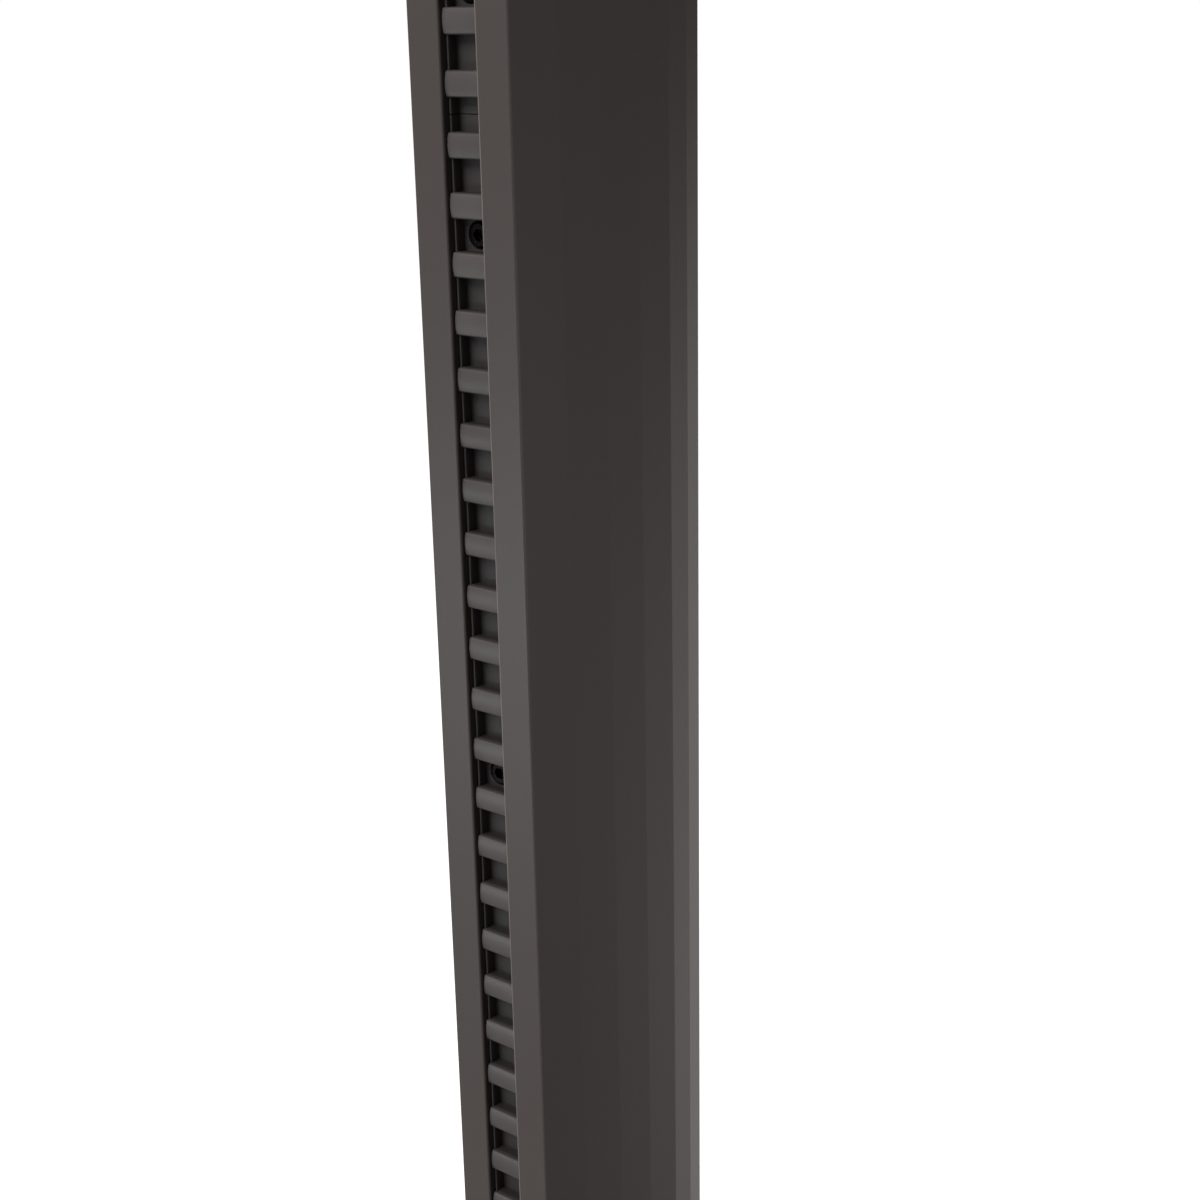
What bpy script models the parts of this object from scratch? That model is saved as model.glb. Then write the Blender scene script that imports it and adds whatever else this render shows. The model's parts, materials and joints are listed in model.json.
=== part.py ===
"""Height-adjustable handrail post: an extruded mast, a ladder rack in its front slot, and a latching grip.

Metres, +Z up. The origin is the centre of the deck plate's underside. The slot and its rack face -Y and
the rungs run along X. Depths into the mast are measured from its front face towards +Y.
"""
import math

import bmesh
import bpy
from mathutils import Matrix, Vector

# ---- clearances and mesh quality -------------------------------------------------------------------
GAP = 0.0003
CUT_PAST = 0.001
CUT_THROUGH = 0.2
ARC_STEPS = 4
HOLE_SIDES = 12
PIN_SIDES = 16
SCREW_SIDES = 20
ROUND_SIDES = 24
SMOOTH_ANGLE = 30

# ---- mast ------------------------------------------------------------------------------------------
MAST_FACE_HALF = 0.0220
MAST_DEPTH = 0.120
MAST_WALL = 0.0032
MAST_CORNER_RADIUS = 0.0009
# Facet edges of the flank: how far each stands outside the front face's half width, and its share of
# the depth.
FLANK_BULGES = (0.0018, 0.0026, 0.0024, 0.0012, -0.0012, -0.0044)
FLANK_SHARES = (0.195, 0.384, 0.558, 0.727, 0.849, 0.950)
BACK_RADII = (0.004, 0.005)
BACK_HALF = 0.0125
SLOT_HALF = 0.0078
SLOT_EDGE_RADIUS = 0.0008
PORT_SCREW_DIAMETER = 0.006
PORT_WALL = 0.0018
PORT_FROM_CORNER = 0.0054
PORT_FROM_WEB = 0.0040
PORT_FROM_BACK = 0.0110
WEB_THICKNESS = 0.0042
MAST_ABOVE_RACK = 0.030

# ---- rack ------------------------------------------------------------------------------------------
RACK_PITCH = 0.020
RACK_RUNGS = 24
RACK_BOTTOM = 0.130
RUNG_HEIGHT = 0.00872
RUNG_RISE = 0.0018
RUNG_BOW = 0.0006
RUNG_EDGE_RADIUS = 0.0009
RAIL_SETBACK = 0.0034
RAIL_THICKNESS = 0.0007
POCKET_DEPTH = 0.0043
POCKET_EASE = 0.00003
RACK_FLOOR = 0.0080
SCREW_GAPS = (2, 12, 22)

# ---- M5 rack screws --------------------------------------------------------------------------------
M5_SHANK = 0.005
M5_HEAD = 0.0085
M5_HEAD_HEIGHT = 0.005
M5_HEX = 0.004
M5_COUNTERBORE = 0.0100
M5_HEAD_PROUD = 0.0008

# ---- foot ------------------------------------------------------------------------------------------
PLATE_WIDTH = 0.150
PLATE_DEPTH = 0.220
PLATE_THICKNESS = 0.012
PLATE_CORNER_RADIUS = 0.012
ANCHOR_HOLE = 0.013
ANCHOR_INSET = 0.020
M6_HEAD = 0.0120
M6_LENGTH = 0.040
COLLAR_HEIGHT = 0.028
COLLAR_FOOT_SPREAD = 0.012
COLLAR_TOP_SPREAD = 0.004
COLLAR_SKIRT_SHARE = 0.25

# ---- top cap ---------------------------------------------------------------------------------------
CAP_THICKNESS = 0.008
CAP_EDGE = 0.0015
CAP_PLUG_GAP = 0.0006
PLUG_LENGTH = 0.018

# ---- carriage --------------------------------------------------------------------------------------
CARRIAGE_RUNG_GAP = 42
CARRIAGE_HEIGHT = 0.170
SHELL_WALL = 0.0045
SHELL_EDGE = 0.0015
LINER_THICKNESS = 0.0020
LINER_HEIGHT = 0.030
LINER_INSET = 0.006
EAR_REACH = 0.0130
EAR_THICKNESS = 0.0080
EAR_HEIGHT = 0.0220
EAR_OFFSET = 0.055
CLAMP_SCREW_SHANK = 0.005

# ---- handle ----------------------------------------------------------------------------------------
HANDLE_RADIUS = 0.012
HANDLE_REACH = 0.060
HANDLE_BEND = 0.024
BEND_STEPS = 8
SOCKET_WALL = 0.0045
SOCKET_LENGTH = 0.015
SOCKET_EDGE = 0.0022
SLEEVE_WALL = 0.0040
SLEEVE_LENGTH = 0.078

# ---- latch and lever -------------------------------------------------------------------------------
BOLT_PLAY = 0.00114
BOLT_SIDE_PLAY = 0.0006
BOLT_TIP_CLEARANCE = 0.0006
BOLT_EDGE = 0.0008
BOLT_TAIL_SHOULDER = 0.0028
BOLT_TAIL_LENGTH = 0.0200
LEVER_ARM = 0.030
LEVER_STANDOFF = 0.0140
LEVER_LOBE_RADIUS = 0.0035
LEVER_ARM_HALF = 0.0018
LEVER_THICKNESS = 0.0080
LEVER_PAD_WIDTH = 0.0240
LEVER_PAD_THICKNESS = 0.0060
LEVER_PAD_GAP = 0.0020
LEVER_PAD_END_GAP = 0.0032
LEVER_PAD_EDGE = 0.0020
LEVER_PAD_OVERLAP = 0.0040
PIVOT_RADIUS = 0.0025
LEVER_EYE_WALL = 0.0028
HOUSING_BACK = 0.0030
HOUSING_CHEEK = 0.0030
HOUSING_EDGE = 0.0015
HOUSING_REACH = 0.0240
HOUSING_BELOW = 0.0150
HOUSING_ABOVE = 0.0400
HOUSING_SCREW_RISE = 0.0100
M4_HEAD = 0.0070
M4_HEAD_HEIGHT = 0.0040
M4_SHANK = 0.0040
M4_HEX = 0.0030

# ---- places that follow from the sizes above --------------------------------------------------------
MAST_FRONT = -MAST_DEPTH / 2
MAST_BOTTOM = PLATE_THICKNESS + GAP
RACK_DEPTH = RAIL_SETBACK + POCKET_DEPTH + RACK_FLOOR
WEB_FRONT = RACK_DEPTH + GAP
WEB_BACK = WEB_FRONT + WEB_THICKNESS
RACK_HALF = SLOT_HALF - GAP
SEGMENT_LENGTH = RACK_RUNGS * RACK_PITCH
MAST_TOP = RACK_BOTTOM + 2 * SEGMENT_LENGTH + MAST_ABOVE_RACK
FLOOR_DEPTH = RAIL_SETBACK + POCKET_DEPTH
PORT_HALF = PORT_SCREW_DIAMETER / 2 + GAP
PORT_FRONT = (MAST_FACE_HALF - PORT_FROM_CORNER, WEB_BACK + PORT_FROM_WEB)
PORT_REAR = (BACK_HALF - PORT_WALL, MAST_DEPTH - PORT_FROM_BACK)
SHELL_GAP = LINER_THICKNESS + 2 * GAP
CARRIAGE_Z = RACK_BOTTOM + CARRIAGE_RUNG_GAP * RACK_PITCH
SHELL_FRONT = MAST_FRONT - SHELL_GAP - SHELL_WALL
WIDEST_SHELL = MAST_FACE_HALF + max(FLANK_BULGES) + SHELL_GAP + SHELL_WALL
SOCKET_RADIUS = HANDLE_RADIUS + GAP + SOCKET_WALL
HANDLE_LEG_OFFSET = CARRIAGE_HEIGHT / 2 - SOCKET_RADIUS - SOCKET_EDGE
HANDLE_Y = SHELL_FRONT - HANDLE_REACH
BOLT_WIDTH = 2 * (RACK_HALF - RAIL_THICKNESS - BOLT_SIDE_PLAY)
BOLT_HEIGHT = RACK_PITCH - RUNG_HEIGHT - 2 * BOLT_PLAY
BOLT_TAIL_WIDTH = BOLT_WIDTH + 2 * BOLT_TAIL_SHOULDER
BOLT_TIP = MAST_FRONT + FLOOR_DEPTH - M5_HEAD_PROUD - BOLT_TIP_CLEARANCE
LEVER_Y = SHELL_FRONT - LEVER_STANDOFF
LEVER_PAD_TOP = HOUSING_BELOW + LEVER_PAD_GAP
LEVER_PAD_LENGTH = HANDLE_LEG_OFFSET - SOCKET_RADIUS - LEVER_PAD_END_GAP - LEVER_PAD_TOP
PIVOT_Z = CARRIAGE_Z + LEVER_ARM


# ---- small tools -----------------------------------------------------------------------------------
def clear_scene():
    """Remove every object that the file starts with."""
    for old in list(bpy.data.objects):
        bpy.data.objects.remove(old, do_unlink=True)


def finish(name, colour, roughness, metallic):
    """Return a Principled material with one colour, roughness and metallic value."""
    material = bpy.data.materials.new(name)
    material.use_nodes = True
    shader = material.node_tree.nodes["Principled BSDF"]
    shader.inputs["Base Color"].default_value = (*colour, 1.0)
    shader.inputs["Roughness"].default_value = roughness
    shader.inputs["Metallic"].default_value = metallic
    return material


def to_object(name, bm, material=None, smooth=None):
    """Turn a bmesh into a named object; smooth is the sharpest angle, in degrees, that is shaded smooth."""
    bmesh.ops.recalc_face_normals(bm, faces=bm.faces)
    mesh = bpy.data.meshes.new(name)
    bm.to_mesh(mesh)
    bm.free()
    if smooth is not None:
        mesh.shade_smooth()
        mesh.set_sharp_from_angle(angle=math.radians(smooth))
    if material is not None:
        mesh.materials.append(material)
    obj = bpy.data.objects.new(name, mesh)
    bpy.context.scene.collection.objects.link(obj)
    return obj


def arc(centre, radius, start, end, steps=ARC_STEPS):
    """Points on an arc in a plane, from one angle to another in degrees, both ends included."""
    angles = [math.radians(start + (end - start) * i / steps) for i in range(steps + 1)]
    return [(centre[0] + radius * math.cos(a), centre[1] + radius * math.sin(a)) for a in angles]


def round_corner(before, corner, after, radius, steps=ARC_STEPS):
    """Points of the arc that rounds one corner of an outline."""
    c = Vector(corner)
    to_before = (Vector(before) - c).normalized()
    to_after = (Vector(after) - c).normalized()
    half = to_before.angle(to_after) / 2
    reach = radius / math.tan(half)
    centre = c + (to_before + to_after).normalized() * radius / math.sin(half)
    first = c + to_before * reach - centre
    last = c + to_after * reach - centre
    points = []
    for i in range(steps + 1):
        spoke = first.lerp(last, i / steps).normalized() * radius
        points.append(tuple(centre + spoke))
    return points


def rounded(outline, radii):
    """Round the corners of a closed outline; a radius of 0 keeps the corner."""
    points = []
    for i, (corner, radius) in enumerate(zip(outline, radii)):
        if radius == 0:
            points.append(corner)
        else:
            points += round_corner(outline[i - 1], corner, outline[(i + 1) % len(outline)], radius)
    return points


def grown(outline, distance):
    """Offset a closed convex outline outwards by a distance (inwards if negative)."""
    area = sum(a[0] * b[1] - b[0] * a[1] for a, b in zip(outline, outline[1:] + outline[:1]))
    turn = 1 if area > 0 else -1
    points = []
    for i, corner in enumerate(outline):
        c = Vector(corner)
        e1 = (c - Vector(outline[i - 1])).normalized()
        e2 = (Vector(outline[(i + 1) % len(outline)]) - c).normalized()
        n1 = Vector((e1.y, -e1.x)) * turn
        n2 = Vector((e2.y, -e2.x)) * turn
        bisector = (n1 + n2).normalized()
        points.append(tuple(c + bisector * distance / bisector.dot(n1)))
    return points


def prism(name, loops, low, high, axis="Z", material=None, smooth=None):
    """Extrude an outline, with any further loops as holes through it, between two heights on an axis.

    On axis Z the outline is (x, y), on axis Y it is (x, z) and on axis X it is (y, z).
    """
    place = {
        "Z": lambda u, v, h: (u, v, h),
        "Y": lambda u, v, h: (u, h, v),
        "X": lambda u, v, h: (h, u, v),
    }[axis]
    bm = bmesh.new()
    for loop in loops:
        verts = [bm.verts.new(place(u, v, low)) for u, v in loop]
        for i, vert in enumerate(verts):
            bm.edges.new((verts[i - 1], vert))
    bmesh.ops.triangle_fill(bm, use_beauty=True, use_dissolve=False, edges=bm.edges)
    grown_part = bmesh.ops.extrude_face_region(bm, geom=bm.faces[:])
    moved = [v for v in grown_part["geom"] if isinstance(v, bmesh.types.BMVert)]
    bmesh.ops.translate(bm, verts=moved, vec=Vector(place(0, 0, high - low)))
    return to_object(name, bm, material, smooth)


def circle(centre, radius, sides):
    """A closed round loop in a plane."""
    return arc(centre, radius, 0, 360 * (sides - 1) / sides, sides - 1)


def rectangle(left, right, low, high):
    """A closed rectangular loop in a plane."""
    return [(left, low), (right, low), (right, high), (left, high)]


def box(name, x, y, z, material=None):
    """A box between pairs of limits."""
    return prism(name, [rectangle(*x, *y)], z[0], z[1], material=material)


def apply_boolean(obj, tool, operation):
    """Cut, join or intersect obj with a tool object, and remove the tool."""
    modifier = obj.modifiers.new(operation.lower(), "BOOLEAN")
    modifier.operation = operation
    modifier.solver = "EXACT"
    modifier.object = tool
    apply_modifiers(obj)
    bpy.data.objects.remove(tool, do_unlink=True)


def apply_modifiers(obj):
    """Replace an object's mesh with what its modifiers make of it."""
    bpy.context.view_layer.update()
    graph = bpy.context.evaluated_depsgraph_get()
    mesh = bpy.data.meshes.new_from_object(obj.evaluated_get(graph))
    obj.modifiers.clear()
    obj.data = mesh


def cut(obj, *tools):
    """Take each tool's volume out of an object."""
    for tool in tools:
        apply_boolean(obj, tool, "DIFFERENCE")


def join(obj, *tools):
    """Add each tool's volume to an object."""
    for tool in tools:
        apply_boolean(obj, tool, "UNION")


def bevel_edges(obj, width, segments=2, angle=40):
    """Round an object's edges that turn more than an angle, in degrees."""
    modifier = obj.modifiers.new("bevel", "BEVEL")
    modifier.width = width
    modifier.segments = segments
    modifier.limit_method = "ANGLE"
    modifier.angle_limit = math.radians(angle)
    apply_modifiers(obj)


def turned(name, profile, axis, sides=SCREW_SIDES):
    """Turn a profile of (radius, height) points, which starts and ends on the axis, about Y or Z."""
    direction = Vector((0, 1, 0)) if axis == "Y" else Vector((0, 0, 1))
    bm = bmesh.new()
    verts = [bm.verts.new(Vector((radius, 0, 0)) + direction * height) for radius, height in profile]
    edges = [bm.edges.new(pair) for pair in zip(verts, verts[1:])]
    bmesh.ops.spin(bm, geom=verts + edges, cent=(0, 0, 0), axis=direction, angle=math.tau, steps=sides)
    bmesh.ops.remove_doubles(bm, verts=bm.verts, dist=CUT_PAST / 1000)
    return to_object(name, bm)


def dress(obj, material):
    """Give an object one material, and shade it smooth up to the usual angle."""
    obj.data.materials.clear()
    obj.data.materials.append(material)
    obj.data.shade_smooth()
    obj.data.set_sharp_from_angle(angle=math.radians(SMOOTH_ANGLE))


def socket_screw(name, head, head_height, shank, length, hex_width, material):
    """A socket-head cap screw along +Y, its head's seat at the origin and the hex socket towards -Y."""
    edge = GAP
    profile = [(0, -head_height), (head / 2 - edge, -head_height), (head / 2, -head_height + edge),
               (head / 2, 0), (shank / 2, 0), (shank / 2, length - edge), (shank / 2 - edge, length),
               (0, length)]
    screw = turned(name, profile, "Y")
    reach = hex_width / math.sqrt(3)
    hexagon = circle((0, 0), reach, 6)
    cut(screw, prism("hex_cutter", [hexagon], -head_height - CUT_PAST, -head_height / 2, axis="Y"))
    dress(screw, material)
    return screw


def place_copies(original, names, places, turn=None):
    """Place a piece and copies of it, which share its mesh, at a list of points."""
    for name, place in zip(names, places):
        copy = original if name == names[0] else original.copy()
        if copy is not original:
            bpy.context.scene.collection.objects.link(copy)
        copy.name = name
        copy.location = place
        if turn is not None:
            copy.rotation_euler = turn


def moving_root(name, place):
    """An empty that carries a moving body, standing on its joint's axis."""
    empty = bpy.data.objects.new(name, None)
    bpy.context.scene.collection.objects.link(empty)
    empty.location = place
    return empty


def carry(root, *pieces):
    """Parent pieces to a moving root without moving them."""
    bpy.context.view_layer.update()
    for piece in pieces:
        piece.parent = root
        piece.matrix_parent_inverse = Matrix.Translation(root.location).inverted()


# ---- the mast's section ----------------------------------------------------------------------------
def flank():
    """Facet edges of the mast's right flank, as (x, y), front to back."""
    return [(MAST_FACE_HALF + bulge, MAST_FRONT + share * MAST_DEPTH)
            for bulge, share in zip(FLANK_BULGES, FLANK_SHARES)]


def mirrored(half):
    """Close a half outline, given on the +X side, with its mirror image."""
    return half + [(-x, y) for x, y in reversed(half)]


def mast_envelope():
    """The mast's outer outline with the slot closed."""
    half = [(MAST_FACE_HALF, MAST_FRONT)] + flank() + [(BACK_HALF, -MAST_FRONT)]
    radii = [MAST_CORNER_RADIUS] + [0] * (len(FLANK_SHARES) - 1) + list(BACK_RADII)
    return rounded(mirrored(half), radii + radii[::-1])


def mast_outline():
    """The mast's outer outline with the open slot channel."""
    web = MAST_FRONT + WEB_FRONT
    half = [(SLOT_HALF, web), (SLOT_HALF, MAST_FRONT), (MAST_FACE_HALF, MAST_FRONT)]
    half += flank() + [(BACK_HALF, -MAST_FRONT)]
    radii = [0, SLOT_EDGE_RADIUS, MAST_CORNER_RADIUS] + [0] * (len(FLANK_SHARES) - 1) + list(BACK_RADII)
    return rounded(mirrored(half), radii + radii[::-1])


def lip_chamber():
    """The closed chamber behind the right-hand lip, beside the channel."""
    inner = SLOT_HALF + MAST_WALL
    front = MAST_FRONT + MAST_WALL
    back = MAST_FRONT + WEB_FRONT
    return [(inner, front), (MAST_FACE_HALF - MAST_WALL, front),
            (MAST_FACE_HALF + FLANK_BULGES[0] / 2 - MAST_WALL, back), (inner, back)]


def main_chamber():
    """The big chamber behind the web, with solid blocks left for the four screw ports."""
    edges = flank()
    front = MAST_FRONT + WEB_BACK
    around_port = PORT_HALF + PORT_WALL
    block_front = PORT_FRONT[0] - around_port
    block_end = MAST_FRONT + PORT_FRONT[1] + around_port
    rear_start = MAST_FRONT + PORT_REAR[1] - around_port
    rear_half = PORT_REAR[0] - around_port
    half = [(block_front, front), (block_front, block_end), (edges[0][0] - MAST_WALL, block_end)]
    half += [(x - MAST_WALL, y) for x, y in edges[1:4]]
    half += [(edges[4][0] - MAST_WALL, rear_start), (rear_half, rear_start)]
    half += [(rear_half, -MAST_FRONT - MAST_WALL)]
    return mirrored(half)


def port_places():
    """Centres of the four screw ports, as (x, y)."""
    return [(side * x, MAST_FRONT + depth) for x, depth in (PORT_FRONT, PORT_REAR) for side in (1, -1)]


# ---- fixed pieces ----------------------------------------------------------------------------------
def build_mast(coat):
    """The hollow extrusion, with tapped holes through its web for the rack screws."""
    chamber = lip_chamber()
    loops = [mast_outline(), main_chamber(), chamber, [(-x, y) for x, y in chamber]]
    loops += [circle(centre, PORT_HALF, HOLE_SIDES) for centre in port_places()]
    mast = prism("mast_extrusion", loops, MAST_BOTTOM, MAST_TOP, material=coat, smooth=SMOOTH_ANGLE)
    web = (MAST_FRONT + WEB_FRONT - CUT_PAST, MAST_FRONT + WEB_BACK + CUT_PAST)
    for _, _, z in rack_screw_places():
        hole = circle((0, z), M5_SHANK / 2 + GAP, HOLE_SIDES)
        cut(mast, prism("tapped_hole", [hole], *web, axis="Y"))


def rack_screw_places():
    """Head seats of the rack screws, top segment first."""
    seat = MAST_FRONT + FLOOR_DEPTH + M5_HEAD_HEIGHT - M5_HEAD_PROUD
    starts = (RACK_BOTTOM + SEGMENT_LENGTH, RACK_BOTTOM)
    return [(0, seat, start + RACK_PITCH * gap) for start in starts for gap in reversed(SCREW_GAPS)]


def rung_outline(z):
    """Corners of one rung above its rail, as (y, z) upwards: upright sides and a slightly bowed front."""
    rail = MAST_FRONT + RAIL_SETBACK
    half = RUNG_HEIGHT / 2
    half_angle = 2 * math.degrees(math.atan(RUNG_BOW / half))
    radius = half / math.sin(math.radians(half_angle))
    centre = (rail - RUNG_RISE + radius, z)
    return [(rail, z - half)] + arc(centre, radius, 180 + half_angle, 180 - half_angle) + [(rail, z + half)]


def rack_profile(bottom):
    """Outline of a rack segment seen from the side, as (y, z): a flat strip with a pad at each rung."""
    rail = MAST_FRONT + RAIL_SETBACK
    back = MAST_FRONT + RACK_DEPTH
    low, high = bottom + GAP / 2, bottom + SEGMENT_LENGTH - GAP / 2
    outline = [(back, low), (rail, low)]
    radii = [0, 0]
    for rung in range(RACK_RUNGS):
        corners = rung_outline(bottom + (rung + 0.5) * RACK_PITCH)
        outline += corners
        radii += [0, RUNG_EDGE_RADIUS] + [0] * (len(corners) - 4) + [RUNG_EDGE_RADIUS, 0]
    return rounded(outline + [(rail, high), (back, high)], radii + [0, 0])


def build_rack(name, bottom, strip):
    """One rack segment: rungs between two thin rails, with counterbored screw holes in its floor."""
    rack = prism(name, [rack_profile(bottom)], -RACK_HALF, RACK_HALF, axis="X", material=strip,
                 smooth=SMOOTH_ANGLE)
    half = RACK_HALF - RAIL_THICKNESS
    front = MAST_FRONT - CUT_PAST
    floor = MAST_FRONT + FLOOR_DEPTH
    half_gap = (RACK_PITCH - RUNG_HEIGHT) / 2 - POCKET_EASE
    for gap in range(RACK_RUNGS + 1):
        z = bottom + gap * RACK_PITCH
        cut(rack, box("pocket", (-half, half), (front, floor), (z - half_gap, z + half_gap)))
    for gap in SCREW_GAPS:
        bore, hole = M5_COUNTERBORE / 2, M5_SHANK / 2 + GAP
        seat, back = M5_HEAD_HEIGHT - M5_HEAD_PROUD + GAP, RACK_FLOOR + CUT_PAST
        stepped = turned("bore", [(0, -CUT_PAST), (bore, -CUT_PAST), (bore, seat), (hole, seat), (hole, back),
                                  (0, back)], "Y")
        stepped.location = (0, floor, bottom + gap * RACK_PITCH)
        cut(rack, stepped)


def build_rack_screws(steel):
    """The six cap screws that hold the rack segments."""
    length = WEB_BACK - FLOOR_DEPTH - M5_HEAD_HEIGHT + M5_HEAD_PROUD + CUT_PAST
    screw = socket_screw("rack_screw_1", M5_HEAD, M5_HEAD_HEIGHT, M5_SHANK, length, M5_HEX, steel)
    places = rack_screw_places()
    place_copies(screw, [f"rack_screw_{i + 1}" for i in range(len(places))], places)


def build_cap(plastic):
    """The end cap: a slab of the mast's outline with a plug that enters the main chamber."""
    low = MAST_TOP + GAP
    cap = prism("top_cap", [mast_envelope()], low, low + CAP_THICKNESS)
    bevel_edges(cap, CAP_EDGE)
    half = PORT_FRONT[0] - PORT_HALF - PORT_WALL - CAP_PLUG_GAP
    widest_facet_edge = flank()[3]
    join(cap, box("plug", (-half, half), (MAST_FRONT + WEB_BACK + CAP_PLUG_GAP, widest_facet_edge[1]),
                  (MAST_TOP - PLUG_LENGTH, low + CAP_THICKNESS / 2)))
    dress(cap, plastic)


def build_deck_plate(coat):
    """The rounded deck plate with anchor holes at its corners and countersunk holes under the mast."""
    half_x, half_y = PLATE_WIDTH / 2, PLATE_DEPTH / 2
    corners = rectangle(-half_x, half_x, -half_y, half_y)
    outline = rounded(corners, [PLATE_CORNER_RADIUS] * 4)
    reach_x, reach_y = half_x - ANCHOR_INSET, half_y - ANCHOR_INSET
    anchors = [circle((sx * reach_x, sy * reach_y), ANCHOR_HOLE / 2, ROUND_SIDES)
               for sx in (1, -1) for sy in (1, -1)]
    ports = [circle(centre, PORT_HALF, PIN_SIDES) for centre in port_places()]
    plate = prism("deck_plate", [outline] + anchors + ports, 0, PLATE_THICKNESS, material=coat,
                  smooth=SMOOTH_ANGLE)
    for x, y in port_places():
        sink = countersink(M6_HEAD / 2 + 4 * GAP, PORT_HALF - GAP)
        sink.location = (x, y, -2 * GAP)
        cut(plate, sink)


def countersink(wide, narrow):
    """A cone standing on its wide end, at 45 degrees."""
    bm = bmesh.new()
    depth = wide - narrow
    bmesh.ops.create_cone(bm, cap_ends=True, segments=PIN_SIDES, radius1=wide, radius2=narrow, depth=depth,
                          matrix=Matrix.Translation((0, 0, depth / 2)))
    return to_object("countersink", bm)


def build_plate_screws(steel):
    """Four countersunk screws from below into the mast's screw ports."""
    head = M6_HEAD / 2
    shank = PORT_SCREW_DIAMETER / 2
    depth = head - shank
    profile = [(0, GAP), (head - GAP, GAP), (shank, depth + GAP), (shank, M6_LENGTH), (0, M6_LENGTH)]
    screw = turned("plate_screw_1", profile, "Z")
    drive = circle((0, 0), M5_HEX / math.sqrt(3), 6)
    cut(screw, prism("drive", [drive], -CUT_PAST, depth))
    dress(screw, steel)
    places = [(x, y, 0) for x, y in port_places()]
    place_copies(screw, [f"plate_screw_{i + 1}" for i in range(len(places))], places)


def build_foot_collar(coat):
    """A tapered collar that covers the joint between the mast and the deck plate."""
    inner = grown(mast_envelope(), 2 * GAP)
    bm = bmesh.new()
    foot = grown(inner, COLLAR_FOOT_SPREAD)
    top = grown(inner, COLLAR_TOP_SPREAD)
    levels = [(inner, 0), (foot, 0), (foot, COLLAR_SKIRT_SHARE), (top, 1), (inner, 1)]
    rings = []
    for loop, share in levels:
        z = PLATE_THICKNESS + GAP + COLLAR_HEIGHT * share
        rings.append([bm.verts.new((x, y, z)) for x, y in loop])
    count = len(inner)
    for ring, after in zip(rings, rings[1:] + rings[:1]):
        for i in range(count):
            bm.faces.new((ring[i - 1], ring[i], after[i], after[i - 1]))
    to_object("foot_collar", bm, coat, SMOOTH_ANGLE)


# ---- carriage --------------------------------------------------------------------------------------
def shell_half(name, front, coat):
    """One half of the carriage shell, front or rear, with its two pairs of clamp ears."""
    inner = grown(mast_envelope(), SHELL_GAP)
    outer = grown(inner, SHELL_WALL)
    low = CARRIAGE_Z - CARRIAGE_HEIGHT / 2
    high = CARRIAGE_Z + CARRIAGE_HEIGHT / 2
    shell = prism(name, [outer], low, high)
    bevel_edges(shell, SHELL_EDGE)
    reach = WIDEST_SHELL + EAR_REACH
    depth = EAR_THICKNESS + GAP / 2
    for sign in (-1, 1):
        z = CARRIAGE_Z + sign * EAR_OFFSET
        join(shell, box("ears", (-reach, reach), (-depth, depth), (z - EAR_HEIGHT / 2, z + EAR_HEIGHT / 2)))
    cut(shell, prism("bore", [inner], low - CUT_PAST, high + CUT_PAST))
    keep = (-CUT_THROUGH, -GAP / 2) if front else (GAP / 2, CUT_THROUGH)
    half = box("keep", (-CUT_THROUGH, CUT_THROUGH), keep, (low - CUT_PAST, high + CUT_PAST))
    apply_boolean(shell, half, "INTERSECT")
    for x, _, z in clamp_screw_places():
        hole = circle((x, z), CLAMP_SCREW_SHANK / 2 + GAP, HOLE_SIDES)
        cut(shell, prism("clamp_hole", [hole], -depth - CUT_PAST, depth + CUT_PAST, axis="Y"))
    dress(shell, coat)
    return shell


def clamp_screw_places():
    """Head seats of the clamp screws, in front of the front shell's ears."""
    x = WIDEST_SHELL + EAR_REACH / 2
    y = -EAR_THICKNESS - GAP * 1.5
    return [(sx * x, y, CARRIAGE_Z + sz * EAR_OFFSET) for sz in (1, -1) for sx in (1, -1)]


def build_front_shell(coat):
    """The front casting, with handle sockets and a window for the latch bolt."""
    shell = shell_half("carriage_front", True, coat)
    front = SHELL_FRONT - CUT_PAST
    for sign in (1, -1):
        centre = (0, CARRIAGE_Z + sign * HANDLE_LEG_OFFSET)
        rings = [circle(centre, SOCKET_RADIUS, ROUND_SIDES), circle(centre, HANDLE_RADIUS + GAP, ROUND_SIDES)]
        join(shell, prism("socket", rings, SHELL_FRONT - SOCKET_LENGTH, SHELL_FRONT + CUT_PAST, axis="Y"))
    half_w = BOLT_WIDTH / 2 + GAP
    half_h = BOLT_HEIGHT / 2 + GAP
    cut(shell, box("window", (-half_w, half_w), (front, MAST_FRONT),
                   (CARRIAGE_Z - half_h, CARRIAGE_Z + half_h)))
    for _, _, z in housing_screw_places():
        hole = circle((0, z), M4_SHANK / 2 + GAP, HOLE_SIDES)
        cut(shell, prism("housing_hole", [hole], front, MAST_FRONT, axis="Y"))
    dress(shell, coat)
    return shell


def build_liner(name, z, plastic):
    """A glide liner: a closed ring between the shell and the mast."""
    inner = grown(mast_envelope(), GAP)
    outer = grown(inner, LINER_THICKNESS)
    half = LINER_HEIGHT / 2
    return prism(name, [outer, inner], z - half, z + half, material=plastic, smooth=SMOOTH_ANGLE)


def handle_path():
    """Centre line of the handle bar, as (y, z) from the upper socket to the lower one."""
    start = SHELL_FRONT - GAP
    bend_y = HANDLE_Y + HANDLE_BEND
    upper = CARRIAGE_Z + HANDLE_LEG_OFFSET
    lower = CARRIAGE_Z - HANDLE_LEG_OFFSET
    path = [(start, upper)]
    path += arc((bend_y, upper - HANDLE_BEND), HANDLE_BEND, 90, 180, BEND_STEPS)
    path += arc((bend_y, lower + HANDLE_BEND), HANDLE_BEND, 180, 270, BEND_STEPS)
    return path + [(start, lower)]


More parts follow.
